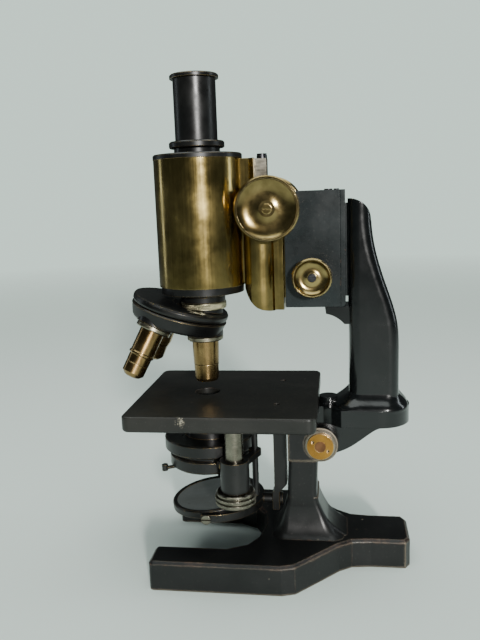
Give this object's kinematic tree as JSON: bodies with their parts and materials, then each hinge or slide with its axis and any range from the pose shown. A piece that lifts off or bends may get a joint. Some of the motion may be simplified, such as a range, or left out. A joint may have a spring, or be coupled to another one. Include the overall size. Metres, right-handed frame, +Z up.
{
  "type": "compound microscope",
  "caption": "Brass and black enamel compound microscope with a horseshoe foot, tilting arm, rack and worm focusing, a turret of objectives, a substage condenser and a swinging mirror.",
  "frame": {"origin": "on the table, under the middle of the stand's bounding box", "axes": "+Z up along the body tube; +X from the objectives towards the handle, the back of the stand; +Y completes the right-handed frame, and Y = 0 is the stand's middle plane"},
  "size_m": [0.1764, 0.109, 0.3073],
  "materials": {
    "base_enamel": "old black enamel, satin, worn to primer and bare iron along the foot's edges",
    "arm_enamel": "glossy black enamel",
    "housing_enamel": "blue-black enamel, semi-gloss, slightly mottled",
    "stage_coating": "hard matte black coating with small chips on its edges",
    "lacquered_brass": "lacquered brass, aged, vertical fine brushing",
    "milled_brass": "turned brass with milled rims",
    "objective_brass": "dark lacquered brass",
    "blackened_metal": "black lacquered turned metal",
    "nickel": "dull nickel plate",
    "steel": "machined steel",
    "blued_steel": "dark blued steel screws",
    "copper_pin": "coppery bronze",
    "mirror_silver": "silvered glass",
    "optical_glass": "clear polished glass"
  },
  "bodies": {
    "base": {"horseshoe_base": "base_enamel", "hinge_pin": "copper_pin", "hinge_washers": "steel", "hinge_caps": "lacquered_brass"},
    "limb": {"arm": "arm_enamel", "focus_housing": "housing_enamel", "housing_back_plate": "housing_enamel", "housing_screws": "blued_steel", "stage_plate": "stage_coating", "stage_screws": "blued_steel", "substage_bar": "blackened_metal", "substage_post": "nickel", "carrier_guide_rod": "blackened_metal"},
    "fine_slide": {"fine_slide_plate": "lacquered_brass", "pinion_block": "lacquered_brass", "cam_follower": "steel"},
    "coarse_pinion": {"pinion_shaft": "steel", "coarse_knobs": "milled_brass", "coarse_knob_screws": "milled_brass"},
    "body": {"body_tube": "lacquered_brass", "body_cap": "blackened_metal", "draw_tube_collar": "blackened_metal", "draw_tube_sleeve": "blackened_metal", "body_flange": "blackened_metal", "slide_rail": "lacquered_brass", "rack": "steel", "slide_stop": "steel", "stop_screw": "blued_steel", "nose_adapter_ring": "nickel", "nosepiece_cover": "blackened_metal", "turret_pivot": "steel"},
    "draw_tube": {"draw_tube": "blackened_metal"},
    "eyepiece": {"eyepiece_barrel": "blackened_metal", "eye_lens": "optical_glass", "field_lens": "optical_glass"},
    "turret": {"nosepiece_turret": "blackened_metal", "medium_objective_collar": "nickel", "medium_objective_barrel": "objective_brass", "medium_objective_lens": "optical_glass", "high_objective_collar": "nickel", "high_objective_barrel": "objective_brass", "high_objective_lens": "optical_glass", "low_objective_collar": "nickel", "low_objective_barrel": "objective_brass", "low_objective_lens": "optical_glass"},
    "condenser": {"condenser_carrier": "blackened_metal", "condenser_mount": "blackened_metal", "condenser_lens": "optical_glass", "iris_housing": "blackened_metal"},
    "wheel": {"substage_wheel": "nickel"},
    "iris": {"iris_lever": "blackened_metal"},
    "fork": {"mirror_fork": "blackened_metal", "mirror_pivots": "nickel"},
    "mirror": {"mirror_cell": "blackened_metal", "mirror_glass": "mirror_silver"},
    "fine_pinion": {"fine_shaft": "steel", "fine_knobs": "milled_brass", "fine_knob_screws": "blued_steel"},
    "cam": {"cam_wheel": "milled_brass"}
  },
  "joints": [
    {"name": "limb_tilt", "type": "hinge", "parent": "base", "child": "limb", "pos_m": [0.03284, 0, 0.08], "axis": [0, 1, 0], "range_deg": [0, 85]},
    {"name": "fine_knob_turn", "type": "hinge", "parent": "limb", "child": "fine_pinion", "pos_m": [0.02954, 0, 0.1858], "axis": [0, 1, 0], "range_deg": [-4510, 4510]},
    {"name": "fine_slide", "type": "slide", "parent": "limb", "child": "fine_slide", "axis": [0, 0, 1], "range_m": [-0.0012, 0.0012]},
    {"name": "cam_turn", "type": "hinge", "parent": "limb", "child": "cam", "pos_m": [0.02954, 0, 0.1976], "axis": [1, 0, 0], "range_deg": [-150.5, 150.5]},
    {"name": "coarse_focus", "type": "slide", "parent": "fine_slide", "child": "body", "axis": [0, 0, 1], "range_m": [-0.0022, 0.035]},
    {"name": "coarse_knob_turn", "type": "hinge", "parent": "fine_slide", "child": "coarse_pinion", "pos_m": [0.00364, 0, 0.2267], "axis": [0, 1, 0], "range_deg": [-20.5, 315]},
    {"name": "draw_tube_slide", "type": "slide", "parent": "body", "child": "draw_tube", "axis": [0, 0, 1], "range_m": [-0.025, 0.03]},
    {"name": "eyepiece_lift", "type": "slide", "parent": "draw_tube", "child": "eyepiece", "axis": [0, 0, 1], "range_m": [0, 0.032]},
    {"name": "turret_turn", "type": "hinge", "parent": "body", "child": "turret", "pos_m": [-0.05712, 0, 0.16043], "axis": [0.2924, 0, 0.9563], "continuous": true},
    {"name": "condenser_slide", "type": "slide", "parent": "limb", "child": "condenser", "axis": [0, 0, 1], "range_m": [0, 0.012]},
    {"name": "substage_wheel_turn", "type": "hinge", "parent": "condenser", "child": "wheel", "pos_m": [-0.01896, -0.033, 0.051], "axis": [0, 0, 1], "range_deg": [-5, 545]},
    {"name": "iris_lever_turn", "type": "hinge", "parent": "condenser", "child": "iris", "pos_m": [-0.04016, 0, 0.062], "axis": [0, 0, 1], "range_deg": [-25, 25]},
    {"name": "mirror_swivel", "type": "hinge", "parent": "limb", "child": "fork", "pos_m": [0.00284, 0, 0.0368], "axis": [1, 0, 0], "range_deg": [-3, 30]},
    {"name": "mirror_tilt", "type": "hinge", "parent": "fork", "child": "mirror", "pos_m": [-0.03816, 0, 0.0368], "axis": [0, 1, 0], "range_deg": [-3, 45]}
  ],
  "couplings": [
    {"joint": "fine_knob_turn", "follows": "fine_slide", "rad_per_m": 65450},
    {"joint": "cam_turn", "follows": "fine_slide", "rad_per_m": -2181.7},
    {"joint": "coarse_knob_turn", "follows": "coarse_focus", "rad_per_m": 156.25},
    {"joint": "substage_wheel_turn", "follows": "condenser_slide", "rad_per_m": 785.4}
  ]
}
